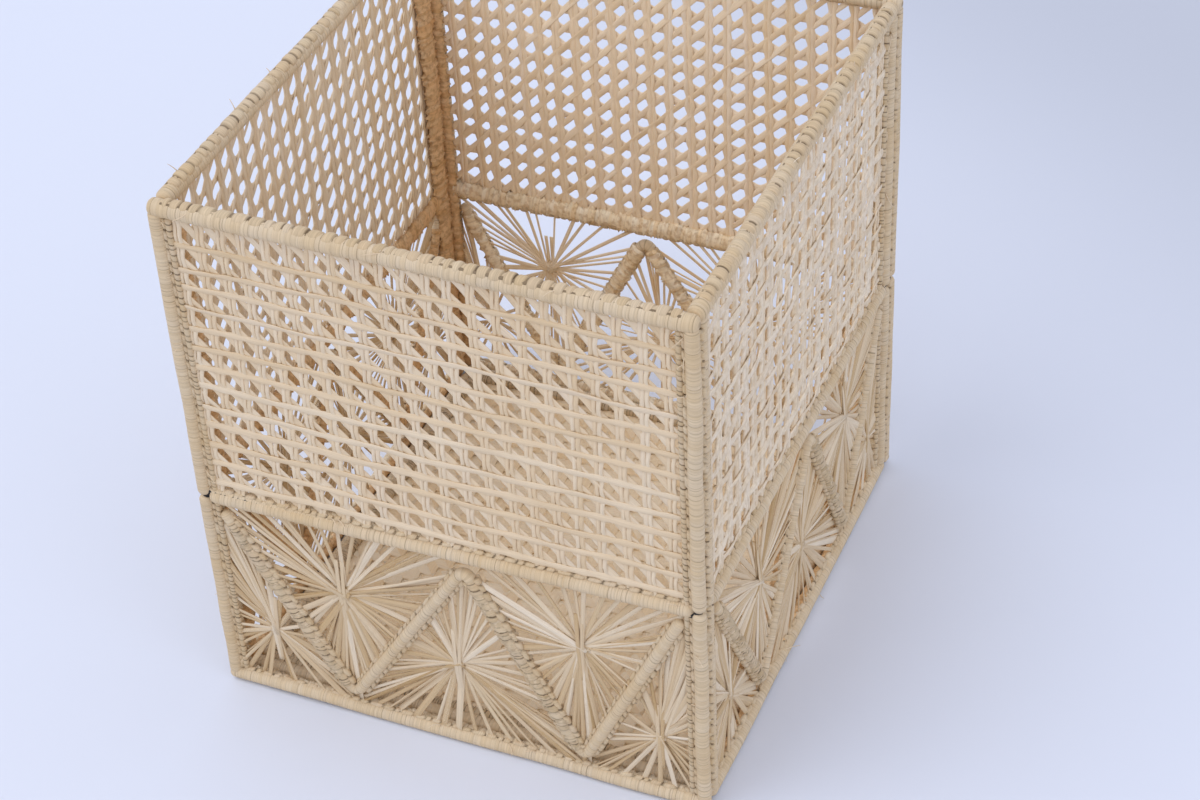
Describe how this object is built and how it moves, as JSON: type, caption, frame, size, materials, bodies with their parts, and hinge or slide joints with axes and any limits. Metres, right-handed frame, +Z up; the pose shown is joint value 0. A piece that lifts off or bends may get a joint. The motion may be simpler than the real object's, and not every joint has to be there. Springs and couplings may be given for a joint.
{
  "type": "woven tissue box",
  "caption": "Open-topped square box of palm-wrapped wire panels, cane-woven above and filled with sunburst fans between zigzag rods below, for a cube of paper tissues.",
  "frame": {"origin": "middle of the floor plane under the box", "axes": "+Z up; the front wall faces -Y and +X is to the right as the front is seen"},
  "size_m": [0.135, 0.144, 0.152],
  "materials": {
    "palm_wrap": "split palm leaf wound in narrow strips, matte with a faint sheen",
    "palm_cane": "split palm leaf strands woven open, satin",
    "palm_fan": "flat palm leaf strips, satin with lengthwise fibre",
    "palm_mat": "close palm mat, matte tan",
    "palm_lacing": "twisted palm lacing, matte",
    "steel_wire": "bare drawn wire, hidden under the wraps"
  },
  "bodies": {
    "root": {"front_wire_frame": "steel_wire", "front_top_rail": "palm_wrap", "front_mid_rail": "palm_wrap", "front_bottom_rail": "palm_wrap", "front_left_post": "palm_wrap", "front_right_post": "palm_wrap", "front_zigzag_rod": "palm_wrap", "front_cane_panel": "palm_cane", "front_fan_left_end": "palm_fan", "front_fan_left_hanging": "palm_fan", "front_fan_middle": "palm_fan", "front_fan_right_hanging": "palm_fan", "front_fan_right_end": "palm_fan", "right_wire_frame": "steel_wire", "right_top_rail": "palm_wrap", "right_mid_rail": "palm_wrap", "right_bottom_rail": "palm_wrap", "right_left_post": "palm_wrap", "right_right_post": "palm_wrap", "right_zigzag_rod": "palm_wrap", "right_cane_panel": "palm_cane", "right_fan_left_end": "palm_fan", "right_fan_left_hanging": "palm_fan", "right_fan_middle": "palm_fan", "right_fan_right_hanging": "palm_fan", "right_fan_right_end": "palm_fan", "back_wire_frame": "steel_wire", "back_top_rail": "palm_wrap", "back_mid_rail": "palm_wrap", "back_bottom_rail": "palm_wrap", "back_left_post": "palm_wrap", "back_right_post": "palm_wrap", "back_zigzag_rod": "palm_wrap", "back_cane_panel": "palm_cane", "back_fan_left_end": "palm_fan", "back_fan_left_hanging": "palm_fan", "back_fan_middle": "palm_fan", "back_fan_right_hanging": "palm_fan", "back_fan_right_end": "palm_fan", "left_wire_frame": "steel_wire", "left_top_rail": "palm_wrap", "left_mid_rail": "palm_wrap", "left_bottom_rail": "palm_wrap", "left_left_post": "palm_wrap", "left_right_post": "palm_wrap", "left_zigzag_rod": "palm_wrap", "left_cane_panel": "palm_cane", "left_fan_left_end": "palm_fan", "left_fan_left_hanging": "palm_fan", "left_fan_middle": "palm_fan", "left_fan_right_hanging": "palm_fan", "left_fan_right_end": "palm_fan", "base_frame": "palm_wrap", "base_mat": "palm_mat", "corner_lacing_front_left": "palm_lacing", "corner_lacing_front_right": "palm_lacing", "corner_lacing_back_left": "palm_lacing", "corner_lacing_back_right": "palm_lacing"}
  },
  "joints": []
}
